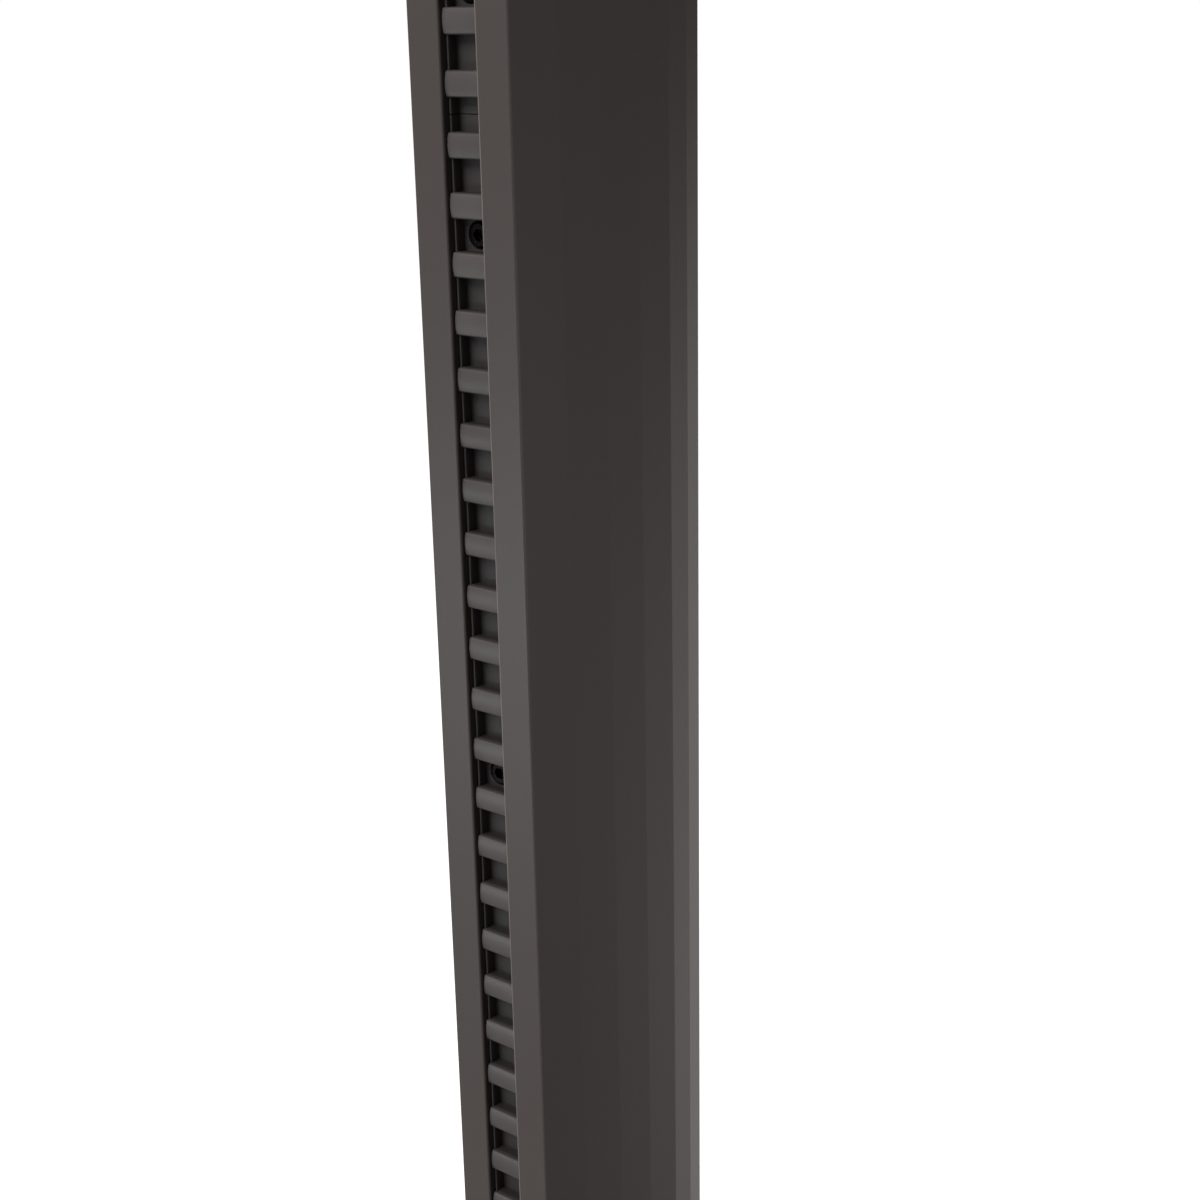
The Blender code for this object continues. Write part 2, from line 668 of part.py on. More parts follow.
def build_handle(coat):
    """The bent handle bar, a round bar whose legs sit in the front casting's sockets."""
    bm = bmesh.new()
    path = [Vector((0, y, z)) for y, z in handle_path()]
    rings = []
    for i, point in enumerate(path):
        ahead = path[min(i + 1, len(path) - 1)] - path[max(i - 1, 0)]
        across = Vector((1, 0, 0))
        up = ahead.normalized().cross(across)
        ring = []
        for j in range(SCREW_SIDES):
            a = math.tau * j / SCREW_SIDES
            ring.append(bm.verts.new(point + (across * math.cos(a) + up * math.sin(a)) * HANDLE_RADIUS))
        rings.append(ring)
    for ring, after in zip(rings, rings[1:]):
        for j in range(SCREW_SIDES):
            bm.faces.new((ring[j - 1], ring[j], after[j], after[j - 1]))
    bm.faces.new(rings[0])
    bm.faces.new(rings[-1])
    return to_object("handle_bar", bm, coat, SMOOTH_ANGLE)


def build_sleeve(rubber):
    """The grip sleeve around the handle's upright stretch."""
    radius = HANDLE_RADIUS + GAP
    centre = (0, HANDLE_Y)
    loops = [circle(centre, radius + SLEEVE_WALL, ROUND_SIDES), circle(centre, radius, ROUND_SIDES)]
    low = CARRIAGE_Z - SLEEVE_LENGTH / 2
    return prism("grip_sleeve", loops, low, low + SLEEVE_LENGTH, material=rubber, smooth=SMOOTH_ANGLE)


def build_housing(coat):
    """The latch housing: a back plate with two cheeks that carry the lever's pivot pin."""
    back = SHELL_FRONT - GAP
    plate = back - HOUSING_BACK
    cheek_in = BOLT_TAIL_WIDTH / 2 + GAP
    cheek_out = cheek_in + HOUSING_CHEEK
    low, high = CARRIAGE_Z - HOUSING_BELOW, CARRIAGE_Z + HOUSING_ABOVE
    housing = box("latch_housing", (-cheek_out, cheek_out), (back - HOUSING_REACH, back), (low, high))
    bevel_edges(housing, HOUSING_EDGE)
    cut(housing, box("throat", (-cheek_in, cheek_in), (back - CUT_THROUGH, plate),
                     (low - CUT_PAST, high - HOUSING_CHEEK)))
    half_w = BOLT_WIDTH / 2 + GAP
    half_h = BOLT_HEIGHT / 2 + GAP
    through = (plate - CUT_PAST, back + CUT_PAST)
    cut(housing, box("window", (-half_w, half_w), through, (CARRIAGE_Z - half_h, CARRIAGE_Z + half_h)))
    pin = circle((LEVER_Y, PIVOT_Z), PIVOT_RADIUS + GAP, PIN_SIDES)
    cut(housing, prism("pin_hole", [pin], -CUT_THROUGH, CUT_THROUGH, axis="X"))
    for _, _, z in housing_screw_places():
        hole = circle((0, z), M4_SHANK / 2 + GAP, HOLE_SIDES)
        cut(housing, prism("screw_hole", [hole], *through, axis="Y"))
    dress(housing, coat)
    return housing


def housing_screw_places():
    """Head seats of the two housing screws, above and below the latch bolt."""
    y = SHELL_FRONT - GAP - HOUSING_BACK - GAP
    return [(0, y, CARRIAGE_Z + sign * HOUSING_SCREW_RISE) for sign in (1, -1)]


def build_pivot_pin(steel):
    """The lever's pivot pin, across both cheeks."""
    half = BOLT_TAIL_WIDTH / 2 + HOUSING_CHEEK
    loop = circle((LEVER_Y, PIVOT_Z), PIVOT_RADIUS, PIN_SIDES)
    return prism("lever_pivot_pin", [loop], -half, half, axis="X", material=steel, smooth=SMOOTH_ANGLE)


def build_bolt(steel):
    """The latch bolt: a tooth that enters a rack pocket, and a wider tail with a window for the lever."""
    tail_front = SHELL_FRONT - GAP - HOUSING_BACK - GAP
    half_h = BOLT_HEIGHT / 2
    level = (CARRIAGE_Z - half_h, CARRIAGE_Z + half_h)
    bolt = box("latch_bolt", (-BOLT_WIDTH / 2, BOLT_WIDTH / 2), (tail_front - BOLT_TAIL_LENGTH / 4, BOLT_TIP),
               level)
    bevel_edges(bolt, BOLT_EDGE)
    tail = box("tail", (-BOLT_TAIL_WIDTH / 2, BOLT_TAIL_WIDTH / 2),
               (tail_front - BOLT_TAIL_LENGTH, tail_front), level)
    bevel_edges(tail, BOLT_EDGE)
    join(bolt, tail)
    half_w = LEVER_THICKNESS / 2 + GAP
    half_l = LEVER_LOBE_RADIUS + GAP
    cut(bolt, box("lever_window", (-half_w, half_w), (LEVER_Y - half_l, LEVER_Y + half_l),
                  (level[0] - CUT_PAST, level[1] + CUT_PAST)))
    dress(bolt, steel)
    return bolt


def build_lever(plastic):
    """The squeeze lever: an eye on the pivot pin, an arm with a round lobe in the bolt, and a finger pad."""
    half = LEVER_THICKNESS / 2
    eye = circle((LEVER_Y, PIVOT_Z), PIVOT_RADIUS + LEVER_EYE_WALL, SCREW_SIDES)
    lever = prism("release_lever", [eye], -half, half, axis="X")
    pad_top = CARRIAGE_Z - LEVER_PAD_TOP
    arm = rectangle(LEVER_Y - LEVER_ARM_HALF, LEVER_Y + LEVER_ARM_HALF, pad_top - LEVER_PAD_OVERLAP, PIVOT_Z)
    lobe = circle((LEVER_Y, CARRIAGE_Z), LEVER_LOBE_RADIUS, SCREW_SIDES)
    pad = box("pad", (-LEVER_PAD_WIDTH / 2, LEVER_PAD_WIDTH / 2),
              (LEVER_Y - LEVER_PAD_THICKNESS / 2, LEVER_Y + LEVER_PAD_THICKNESS / 2),
              (pad_top - LEVER_PAD_LENGTH, pad_top))
    bevel_edges(pad, LEVER_PAD_EDGE)
    join(lever, prism("arm", [arm], -half, half, axis="X"), prism("lobe", [lobe], -half, half, axis="X"), pad)
    pin = circle((LEVER_Y, PIVOT_Z), PIVOT_RADIUS + GAP, PIN_SIDES)
    cut(lever, prism("pin_hole", [pin], -half - CUT_PAST, half + CUT_PAST, axis="X"))
    dress(lever, plastic)
    return lever


def build_carriage(coat, steel, plastic, rubber):
    """The whole carriage on its root, with the lever and the bolt on roots of their own."""
    front = build_front_shell(coat)
    rear = shell_half("carriage_rear", False, coat)
    reach = CARRIAGE_HEIGHT / 2 - LINER_INSET - LINER_HEIGHT / 2
    liners = [build_liner("liner_upper", CARRIAGE_Z + reach, plastic),
              build_liner("liner_lower", CARRIAGE_Z - reach, plastic)]
    clamp = socket_screw("clamp_screw_1", M5_HEAD, M5_HEAD_HEIGHT, CLAMP_SCREW_SHANK,
                         2 * EAR_THICKNESS + 0.004, M5_HEX, steel)
    places = clamp_screw_places()
    clamp_names = [f"clamp_screw_{i + 1}" for i in range(len(places))]
    place_copies(clamp, clamp_names, places)
    small = socket_screw("housing_screw_1", M4_HEAD, M4_HEAD_HEIGHT, M4_SHANK,
                         HOUSING_BACK + SHELL_WALL, M4_HEX, steel)
    small_names = ["housing_screw_1", "housing_screw_2"]
    place_copies(small, small_names, housing_screw_places())
    screws = [bpy.data.objects[name] for name in clamp_names + small_names]
    pieces = [front, rear, build_handle(coat), build_sleeve(rubber), build_housing(coat),
              build_pivot_pin(steel)]
    root = moving_root("carriage_root", (0, 0, CARRIAGE_Z))
    carry(root, *pieces, *liners, *screws)
    lever_root = moving_root("lever_root", (0, LEVER_Y, PIVOT_Z))
    carry(lever_root, build_lever(plastic))
    bolt_root = moving_root("bolt_root", (0, LEVER_Y, CARRIAGE_Z))
    carry(bolt_root, build_bolt(steel))


def main():
    """Build every piece."""
    clear_scene()
    coat = finish("bronze_grey_powder_coat", (0.085, 0.080, 0.078), 0.48, 0.15)
    strip = finish("rack_grey", (0.120, 0.115, 0.112), 0.42, 0.10)
    steel = finish("black_steel", (0.030, 0.030, 0.032), 0.30, 0.90)
    plastic = finish("black_plastic", (0.020, 0.020, 0.021), 0.55, 0.0)
    rubber = finish("grip_rubber", (0.014, 0.014, 0.014), 0.80, 0.0)
    build_mast(coat)
    build_rack("rack_segment_upper", RACK_BOTTOM + SEGMENT_LENGTH, strip)
    build_rack("rack_segment_lower", RACK_BOTTOM, strip)
    build_rack_screws(steel)
    build_cap(plastic)
    build_deck_plate(coat)
    build_plate_screws(steel)
    build_foot_collar(coat)
    build_carriage(coat, steel, plastic, rubber)


main()
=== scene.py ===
"""Looks of the rack post handrail: refined meshes, finishes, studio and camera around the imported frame.

Metres, +Z up. The slot and its rack face -Y, the rungs run along X, and the deck plate stands on the floor.
"""
from __future__ import annotations

import json
import logging
import math
from dataclasses import dataclass, field
from enum import Enum
from typing import Any, Callable, Mapping, Sequence, Union

import bmesh
import bpy
from mathutils import Matrix, Vector

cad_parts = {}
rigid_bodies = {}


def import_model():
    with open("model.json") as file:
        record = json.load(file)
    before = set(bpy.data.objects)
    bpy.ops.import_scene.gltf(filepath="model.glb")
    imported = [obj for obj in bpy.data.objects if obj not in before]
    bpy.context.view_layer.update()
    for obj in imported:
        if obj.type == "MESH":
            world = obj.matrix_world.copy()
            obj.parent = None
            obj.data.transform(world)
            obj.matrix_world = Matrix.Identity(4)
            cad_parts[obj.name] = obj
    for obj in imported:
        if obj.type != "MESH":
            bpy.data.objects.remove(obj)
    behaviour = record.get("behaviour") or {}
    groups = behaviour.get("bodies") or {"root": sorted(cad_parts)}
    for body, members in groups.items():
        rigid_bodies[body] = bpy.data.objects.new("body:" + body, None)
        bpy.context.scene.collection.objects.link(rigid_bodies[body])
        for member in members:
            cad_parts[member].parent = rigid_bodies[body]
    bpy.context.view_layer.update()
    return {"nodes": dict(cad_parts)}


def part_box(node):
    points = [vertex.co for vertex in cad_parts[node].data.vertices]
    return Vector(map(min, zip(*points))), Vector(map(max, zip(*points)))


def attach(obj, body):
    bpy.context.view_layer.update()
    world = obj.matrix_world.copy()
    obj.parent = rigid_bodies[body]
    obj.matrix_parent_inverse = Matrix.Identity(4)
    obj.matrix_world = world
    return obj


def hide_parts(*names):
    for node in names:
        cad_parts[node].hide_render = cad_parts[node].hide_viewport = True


LOG = logging.getLogger("rack_post")
WELD = 0.000002
FLAT_TURN = 0.3
NORMAL_WEIGHT = 80
MIDDLE = 0.5
ROUNDING_FACES = 2
ROUND = 0.5
WHITE = (1.0, 1.0, 1.0, 1.0)

Colour = tuple[float, float, float]
Band = tuple[float, float]


class Axis(Enum):
    """A direction of the shared frame."""

    X = (1.0, 0.0, 0.0)
    Y = (0.0, 1.0, 0.0)
    Z = (0.0, 0.0, 1.0)


class Body(Enum):
    """The moving bodies that pieces ride on."""

    POST = "post"
    CARRIAGE = "carriage"
    LEVER = "lever"
    LATCH = "latch"


class Slot(Enum):
    """The record's material slots."""

    COAT = "bronze_grey_coat"
    RACK = "rack_nylon"
    SCREW = "black_steel"
    LATCH = "latch_steel"
    PLASTIC = "black_plastic"
    RUBBER = "grip_rubber"


# ---- shader graphs ---------------------------------------------------------------------------------
@dataclass(frozen=True)
class Pattern:
    """A noise pattern: features per metre, octaves, stretch along each axis and strength of the octaves."""

    scale: float
    detail: float = 2.0
    stretch: Colour = (1.0, 1.0, 1.0)
    rough: float = 0.5


class Signal:
    """One shader socket that takes part in Python arithmetic."""

    def __init__(self, graph: "Graph", socket: bpy.types.NodeSocket) -> None:
        """Wrap an output socket of a graph."""
        self.graph = graph
        self.socket = socket

    def _math(self, operation: str, first: Any, second: Any) -> "Signal":
        """Add a Math node for one operation on two operands."""
        return self.graph.node("ShaderNodeMath", {"operation": operation}, {0: first, 1: second})

    def __add__(self, other: Any) -> "Signal":
        """Sum."""
        return self._math("ADD", self, other)

    def __radd__(self, other: Any) -> "Signal":
        """Reflected sum."""
        return self._math("ADD", other, self)

    def __sub__(self, other: Any) -> "Signal":
        """Difference."""
        return self._math("SUBTRACT", self, other)

    def __rsub__(self, other: Any) -> "Signal":
        """Reflected difference."""
        return self._math("SUBTRACT", other, self)

    def __mul__(self, other: Any) -> "Signal":
        """Product."""
        return self._math("MULTIPLY", self, other)

    def __rmul__(self, other: Any) -> "Signal":
        """Reflected product."""
        return self._math("MULTIPLY", other, self)

    def magnitude(self) -> "Signal":
        """Absolute value."""
        return self._math("ABSOLUTE", self, 0.0)

    def step(self, low: float, high: float) -> "Signal":
        """Rise smoothly from 0 at low to 1 at high, or fall if low is above high.

        Args:
            low: Value that maps to 0.
            high: Value that maps to 1.

        Returns:
            The stepped signal.
        """
        settings = {"interpolation_type": "SMOOTHSTEP", "clamp": True}
        bounds = {1: low, 2: high, 3: 0.0, 4: 1.0} if low <= high else {1: high, 2: low, 3: 1.0, 4: 0.0}
        return self.graph.node("ShaderNodeMapRange", settings, {"Value": self, **bounds})


class Graph:
    """Builds the node tree of a material or of the surround."""

    def __init__(self, owner: Union[bpy.types.Material, bpy.types.World], ending: str) -> None:
        """Empty the owner's tree and add its output node.

        Args:
            owner: The material or world.
            ending: The output node's type.
        """
        owner.use_nodes = True
        self.owner = owner
        self.tree = owner.node_tree
        self.tree.nodes.clear()
        self.output = self.tree.nodes.new(ending)

    @classmethod
    def for_material(cls, name: str) -> "Graph":
        """Start a new material."""
        return cls(bpy.data.materials.new(name), "ShaderNodeOutputMaterial")

    def node(self, kind: str, settings: Mapping[str, Any] | None = None,
             sockets: Mapping[int | str, Any] | None = None, output: int | str = 0) -> Signal:
        """Add a node.

        Args:
            kind: The node's type.
            settings: Attributes to set before the sockets.
            sockets: Input values, or signals to link, by index or name.
            output: Index or name of the output to return.

        Returns:
            The chosen output as a signal.
        """
        made = self.tree.nodes.new(kind)
        for key, value in (settings or {}).items():
            setattr(made, key, value)
        for key, value in (sockets or {}).items():
            if isinstance(value, Signal):
                self.tree.links.new(value.socket, made.inputs[key])
            else:
                made.inputs[key].default_value = value
        return Signal(self, made.outputs[output])

    def place(self, stretch: Colour = (1.0, 1.0, 1.0)) -> Signal:
        """Object coordinates, scaled along each axis."""
        where = self.node("ShaderNodeTexCoord", output="Object")
        return self.node("ShaderNodeMapping", sockets={"Vector": where, "Scale": stretch})

    def along(self, axis: Axis) -> Signal:
        """One object coordinate, in metres."""
        where = self.node("ShaderNodeTexCoord", output="Object")
        return self.node("ShaderNodeSeparateXYZ", sockets={0: where}, output=axis.name)

    def noise(self, pattern: Pattern) -> Signal:
        """A noise pattern, from 0 to 1."""
        return self.node("ShaderNodeTexNoise", sockets={
            "Vector": self.place(pattern.stretch), "Scale": pattern.scale,
            "Detail": pattern.detail, "Roughness": pattern.rough})

    def grains(self, scale: float) -> Signal:
        """Distance to the nearest of many scattered points, for pits and specks."""
        return self.node("ShaderNodeTexVoronoi", sockets={"Vector": self.place(), "Scale": scale})

    def mix(self, amount: Any, first: Any, second: Any) -> Signal:
        """Blend two colours by an amount from 0 to 1."""
        pair = [(*c, 1.0) if isinstance(c, tuple) else c for c in (first, second)]
        sockets = {0: amount, 6: pair[0], 7: pair[1]}
        return self.node("ShaderNodeMix", {"data_type": "RGBA"}, sockets, output=2)

    def bump(self, height: Signal, distance: float) -> Signal:
        """Turn a height pattern into normals."""
        return self.node("ShaderNodeBump", sockets={"Height": height, "Distance": distance, "Strength": 1.0})

    def principled(self, sockets: Mapping[str, Any]) -> bpy.types.Material:
        """Close the graph with a Principled shader and return the material."""
        self.close(self.node("ShaderNodeBsdfPrincipled", sockets=sockets, output="BSDF"))
        return self.owner

    def close(self, shader: Signal) -> None:
        """Link the last shader to the output."""
        self.tree.links.new(shader.socket, self.output.inputs["Surface"])


def shade(colour: Colour, factor: float) -> Colour:
    """A colour made lighter or darker."""
    return (colour[0] * factor, colour[1] * factor, colour[2] * factor)


# ---- finishes --------------------------------------------------------------------------------------
@dataclass(frozen=True)
class PaintedEdgeHighlight:
    """An upright edge of the extrusion with a painted highlight: a lighter line in the base colour standing
    in for light caught on the rounded edge.
    """

    side_low: float
    side_high: float
    front_low: float
    front_high: float
    strength: float
    fade: float = 0.00008
    breaks: Pattern = Pattern(70.0, 4.0)
    steady_share: float = 0.6
    broken_share: float = 0.8

    def mask(self, graph: Graph) -> Signal:
        """Where the painted highlight lies, as 0 to 1, broken up a little along its length."""
        side = graph.along(Axis.X)
        front = graph.along(Axis.Y)
        inside = side.step(self.side_low - self.fade, self.side_low + self.fade)
        inside = inside * side.step(self.side_high + self.fade, self.side_high - self.fade)
        inside = inside * front.step(self.front_low - self.fade, self.front_low + self.fade)
        inside = inside * front.step(self.front_high + self.fade, self.front_high - self.fade)
        return inside * (self.steady_share + graph.noise(self.breaks) * self.broken_share) * self.strength


@dataclass(frozen=True)
class PaintedSlotShade:
    """The slot's inside, darkened in the base colour: painted shade where the slot is recessed."""

    half_width: float
    from_front: float
    shade: float = 0.45
    side_fade: float = 0.0002
    depth_fade: float = 0.0006

    def mask(self, graph: Graph) -> Signal:
        """Where the painted slot shade lies, as 0 to 1."""
        narrow = graph.along(Axis.X).magnitude().step(self.half_width + self.side_fade, self.half_width)
        return narrow * graph.along(Axis.Y).step(self.from_front, self.from_front + self.depth_fade)


@dataclass(frozen=True)
class PowderCoat:
    """Fine satin powder coat over aluminium."""

    name: str
    colour: Colour
    roughness: float = 0.42
    peel: Pattern = Pattern(620.0)
    peel_height: float = 0.000035
    die_depth: float = 0.0
    die_lines: Pattern = Pattern(420.0, 3.0, (1.0, 1.0, 0.004), 0.7)
    cloud: Pattern = Pattern(5.0, 3.0, (1.0, 1.0, 0.5))
    cloud_band: Band = (0.35, 0.65)
    cloud_shade: float = 0.95
    cloud_gloss: float = 0.10
    warmth: Colour = (1.10, 1.0, 0.94)
    speckle: Pattern = Pattern(2600.0, 1.0)
    speckle_band: Band = (0.55, 0.80)
    speckle_amount: float = 0.35
    speckle_shade: float = 1.55
    speckle_depth: float = 0.35
    speckle_gloss: float = 0.08
    # painted highlights along edges and painted shade in the slot, both in the base colour
    edges: tuple[PaintedEdgeHighlight, ...] = ()
    edge_highlight_gain: float = 3.2
    painted_slot_shade: PaintedSlotShade | None = None

    def material(self) -> bpy.types.Material:
        """Build the material: cloudy tone, fine speckle, orange peel and, on extrusions, faint die lines,
        painted shade in the slot and painted highlights along its edges.
        """
        graph = Graph.for_material(self.name)
        cloud = graph.noise(self.cloud)
        speckle = graph.noise(self.speckle)
        warm = tuple(part * warmth for part, warmth in zip(self.colour, self.warmth))
        base = graph.mix(cloud.step(*self.cloud_band), shade(self.colour, self.cloud_shade), warm)
        spots = speckle.step(*self.speckle_band) * self.speckle_amount
        base = graph.mix(spots, base, shade(self.colour, self.speckle_shade))
        height = graph.noise(self.peel) + speckle * self.speckle_depth
        if self.die_depth:
            height = height + graph.noise(self.die_lines) * self.die_depth
        # painted shade: the base colour darkened inside the slot, where shade falls
        if self.painted_slot_shade is not None:
            base = graph.mix(self.painted_slot_shade.mask(graph), base, shade(self.colour, self.painted_slot_shade.shade))
        # painted highlights: the base colour lightened along the listed edges, standing in for light caught
        # on them
        for edge in self.edges:
            base = graph.mix(edge.mask(graph), base, shade(self.colour, self.edge_highlight_gain))
        unevenness = (cloud - MIDDLE) * self.cloud_gloss + (speckle - MIDDLE) * self.speckle_gloss
        return graph.principled({
            "Base Color": base,
            "Roughness": self.roughness + unevenness,
            "Normal": graph.bump(height, self.peel_height),
        })


@dataclass(frozen=True)
class MouldedPlastic:
    """Moulded engineering plastic with a satin skin, darker by painted shade and rougher below a depth where
    one is given.
    """

    name: str
    colour: Colour
    roughness: float = 0.40
    grain: Pattern = Pattern(1500.0)
    grain_height: float = 0.00002
    # painted shade and a rougher skin below a depth
    shade_and_dull_from: float | None = None
    shade_and_dull_to: float = 0.0
    painted_pocket_shade: float = 0.38
    dull_roughness: float = 0.15
    flow: Pattern = Pattern(45.0, 3.0, (1.0, 1.0, 0.6))
    flow_band: Band = (0.3, 0.7)
    flow_shades: Band = (0.90, 1.10)
    flow_gloss: float = 0.12
    flow_depth: float = 0.6
    scuffs: Pattern = Pattern(260.0, 4.0, (1.0, 1.0, 0.12), 0.65)
    scuff_band: Band = (0.62, 0.78)
    scuff_amount: float = 0.25
    scuff_shade: float = 1.8
    scuff_roughness: float = 0.10

    def material(self) -> bpy.types.Material:
        """Build the material: slow flow marks, fine grain, a little scuffing and, deep in the pockets,
        painted shade and a rougher skin.
        """
        graph = Graph.for_material(self.name)
        flow = graph.noise(self.flow)
        scuff = graph.noise(self.scuffs).step(*self.scuff_band)
        darker, lighter = (shade(self.colour, factor) for factor in self.flow_shades)
        base = graph.mix(flow.step(*self.flow_band), darker, lighter)
        base = graph.mix(scuff * self.scuff_amount, base, shade(self.colour, self.scuff_shade))
        roughness = self.roughness + (flow - MIDDLE) * self.flow_gloss + scuff * self.scuff_roughness
        # painted shade: the base colour darkens deep in the rack's pockets, where shade falls; the skin also
        # turns rougher there
        if self.shade_and_dull_from is not None:
            depth = graph.along(Axis.Y).step(self.shade_and_dull_from, self.shade_and_dull_to)
            base = graph.mix(depth, base, shade(self.colour, self.painted_pocket_shade))
            roughness = roughness + depth * self.dull_roughness
        return graph.principled({
            "Base Color": base,
            "Roughness": roughness,
            "Normal": graph.bump(graph.noise(self.grain) + flow * self.flow_depth, self.grain_height),
        })


@dataclass(frozen=True)
class BlackenedSteel:
    """Black oxide steel, slightly oiled."""

    name: str
    colour: Colour = (0.014, 0.013, 0.015)
    bare: Colour = (0.06, 0.055, 0.055)
    roughness: float = 0.30
    patches: Pattern = Pattern(1500.0, 4.0)
    patch_band: Band = (0.60, 0.74)
    patch_amount: float = 0.5
    patch_roughness: float = 0.12
    turning: Pattern = Pattern(2400.0, 2.0, (1.0, 0.15, 1.0))
    turning_gloss: float = 0.15
    turning_height: float = 0.000015

    def material(self) -> bpy.types.Material:
        """Build the material: dark oxide with small bare patches and turning marks."""
        graph = Graph.for_material(self.name)
        patch = graph.noise(self.patches).step(*self.patch_band)
        turning = graph.noise(self.turning)
        unevenness = patch * self.patch_roughness + (turning - MIDDLE) * self.turning_gloss
        return graph.principled({
            "Base Color": graph.mix(patch * self.patch_amount, self.colour, self.bare),
            "Roughness": self.roughness + unevenness,
            "Metallic": 1.0,
            "Normal": graph.bump(turning, self.turning_height),
        })


@dataclass(frozen=True)
class MachinedSteel:
    """Bare machined stainless steel."""

    name: str
    colour: Colour = (0.46, 0.46, 0.47)
    roughness: float = 0.30
    marks: Pattern = Pattern(1800.0, 2.0, (0.06, 1.0, 1.0))
    marks_gloss: float = 0.20
    marks_height: float = 0.000012
    rub: Pattern = Pattern(160.0, 3.0)
    rub_band: Band = (0.45, 0.75)
    rub_shade: float = 0.78
    rub_gloss: float = 0.06

    def material(self) -> bpy.types.Material:
        """Build the material: milling marks across the piece and light rubbing."""
        graph = Graph.for_material(self.name)
        marks = graph.noise(self.marks)
        rub = graph.noise(self.rub).step(*self.rub_band)
        return graph.principled({
            "Base Color": graph.mix(rub, shade(self.colour, self.rub_shade), self.colour),
            "Roughness": self.roughness + (marks - MIDDLE) * self.marks_gloss - rub * self.rub_gloss,
            "Metallic": 1.0,
            "Normal": graph.bump(marks, self.marks_height),
        })


@dataclass(frozen=True)
class Elastomer:
    """Matte rubber for the grip."""

    name: str
    colour: Colour = (0.016, 0.016, 0.017)
    roughness: float = 0.72
    dust: Pattern = Pattern(60.0, 4.0)
    dust_band: Band = (0.42, 0.80)
    dust_amount: float = 0.55
    dust_shade: float = 2.4
    dust_roughness: float = 0.14
    stipple_scale: float = 1400.0
    stipple_height: float = 0.00006

    def material(self) -> bpy.types.Material:
        """Build the material: dusty matte skin with a fine stipple."""
        graph = Graph.for_material(self.name)
        dust = graph.noise(self.dust).step(*self.dust_band)
        dusty = shade(self.colour, self.dust_shade)
        return graph.principled({
            "Base Color": graph.mix(dust * self.dust_amount, self.colour, dusty),
            "Roughness": self.roughness + dust * self.dust_roughness,
            "Normal": graph.bump(graph.grains(self.stipple_scale), self.stipple_height),
        })


class Palette:
    """Every finish of the object, by material slot."""

    COAT_GREY: Colour = (0.066, 0.058, 0.055)
    RACK_GREY: Colour = (0.077, 0.071, 0.070)
    TRIM_BLACK: Colour = (0.022, 0.022, 0.023)
    SLOT_EDGE: Band = (0.0075, 0.0086)
    CORNER_EDGE: Band = (0.0213, 0.0225)
    EDGE_AHEAD: float = 0.0005
    SLOT_EDGE_DEPTH: float = 0.0008
    CORNER_EDGE_DEPTH: float = 0.0007
    CHANNEL_HALF: float = 0.0079
    RACK_SHADE_AND_DULL_DEPTHS: Band = (0.0030, 0.0050)

    def __init__(self, mast_front: float) -> None:
        """Build each material once.

        Args:
            mast_front: Where the mast's front face stands along Y.
        """
        ahead = mast_front - self.EDGE_AHEAD
        slot_depth = mast_front + self.SLOT_EDGE_DEPTH
        # painted highlights along the +X slot edge and the +X front corner
        slot_edge_highlight = PaintedEdgeHighlight(*self.SLOT_EDGE, ahead, slot_depth, strength=0.95)
        corner_edge_highlight = PaintedEdgeHighlight(*self.CORNER_EDGE, ahead, mast_front + self.CORNER_EDGE_DEPTH, strength=0.10)
        # painted shade deep in the rack's pockets
        shade_and_dull_from, shade_and_dull_to = (mast_front + depth for depth in self.RACK_SHADE_AND_DULL_DEPTHS)
        # the extrusion's coat carries the painted highlights and the painted slot shade
        self.extrusion = PowderCoat(
            "coat_extrusion", self.COAT_GREY, die_depth=0.8, edges=(slot_edge_highlight, corner_edge_highlight),
            painted_slot_shade=PaintedSlotShade(self.CHANNEL_HALF, slot_depth)).material()
        self.casting = PowderCoat(
            "coat_casting", self.COAT_GREY, peel=Pattern(480.0), peel_height=0.00005).material()
        self.rack = MouldedPlastic(
            "rack_moulding", self.RACK_GREY, shade_and_dull_from=shade_and_dull_from, shade_and_dull_to=shade_and_dull_to).material()
        self.screw = BlackenedSteel("screw_black").material()
        self.latch = MachinedSteel("latch_stainless").material()
        self.plastic = MouldedPlastic(
            "trim_black", self.TRIM_BLACK, roughness=0.50, grain=Pattern(900.0),
            grain_height=0.00004).material()
        self.rubber = Elastomer("grip_elastomer").material()

    def of(self, slot: Slot) -> bpy.types.Material:
        """The material that a record slot takes."""
        return {
            Slot.COAT: self.casting, Slot.RACK: self.rack, Slot.SCREW: self.screw,
            Slot.LATCH: self.latch, Slot.PLASTIC: self.plastic, Slot.RUBBER: self.rubber,
        }[slot]


